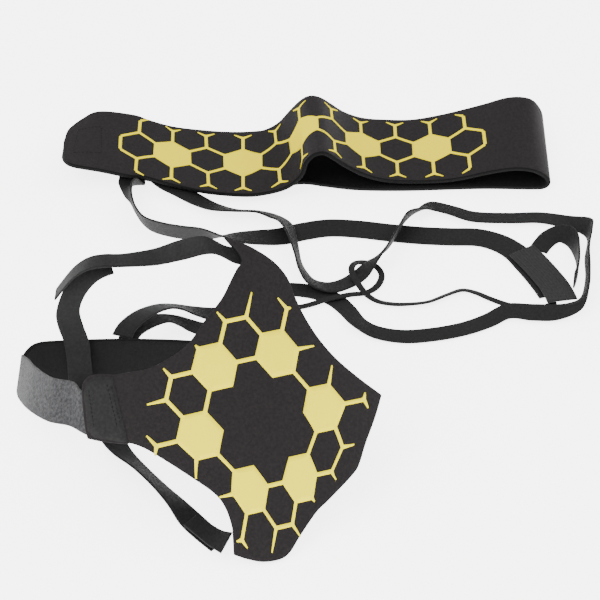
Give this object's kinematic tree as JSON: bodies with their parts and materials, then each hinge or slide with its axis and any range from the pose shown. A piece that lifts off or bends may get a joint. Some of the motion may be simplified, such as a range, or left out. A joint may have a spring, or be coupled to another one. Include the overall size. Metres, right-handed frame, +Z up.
{
  "type": "solo football kick trainer",
  "caption": "Waist belt of printed neoprene with flat elastic tethers to a cupped ball holder closed by hook-and-loop straps, laid out flat.",
  "frame": {"origin": "on the floor under the middle of the bounding box of the belt and the ball holder", "axes": "+X to the right along the belt, +Y from the ball holder towards the belt, +Z up off the floor"},
  "size_m": [0.5151, 0.581, 0.1746],
  "materials": {
    "neoprene": "matt black knitted face bonded to soft foam",
    "hook_patch": "matt black hook tape",
    "loop_fabric": "fuzzy dark grey loop tape",
    "webbing": "matt black woven elastic",
    "ribbed_elastic": "black elastic with lengthwise ribs"
  },
  "bodies": {
    "kit": {"adjuster_strap": "loop_fabric", "back_band": "neoprene", "belt_body": "neoprene", "belt_loop_patch": "loop_fabric", "belt_tether_anchor": "webbing", "front_panel": "neoprene", "long_tether": "webbing", "meridian_strap": "webbing", "ribbed_elastic": "ribbed_elastic", "slack_ribbon": "webbing", "thin_tether": "webbing", "top_strap": "webbing", "upper_lead": "webbing", "wide_tether": "webbing"},
    "belt_tab": {"belt_closing_tab": "neoprene", "belt_hook_patch": "hook_patch"},
    "holder_tab": {"holder_closing_tab": "neoprene", "holder_hook_patch": "hook_patch"},
    "top_end": {"top_strap_end": "webbing", "top_hook_patch": "hook_patch"},
    "lower_end": {"lower_tab": "webbing", "lower_hook_patch": "hook_patch"}
  },
  "joints": [
    {"name": "belt_tab_peel", "type": "hinge", "parent": "kit", "child": "belt_tab", "pos_m": [-0.16057, 0.23905, 0.0175], "axis": [0, 0.9995, 0.0322], "range_deg": [0, 110]},
    {"name": "holder_tab_peel", "type": "hinge", "parent": "kit", "child": "holder_tab", "pos_m": [-0.13977, -0.20522, 0.09056], "axis": [-0.2296, 0.7068, 0.6691], "range_deg": [0, 90]},
    {"name": "top_strap_peel", "type": "hinge", "parent": "kit", "child": "top_end", "pos_m": [-0.1446, -0.07586, 0.13689], "axis": [0, 0.9945, -0.1047], "range_deg": [0, 90]},
    {"name": "lower_tab_peel", "type": "hinge", "parent": "kit", "child": "lower_end", "pos_m": [-0.05654, -0.27909, 0.0135], "axis": [0.4628, 0.7713, 0.437], "range_deg": [0, 100]}
  ]
}
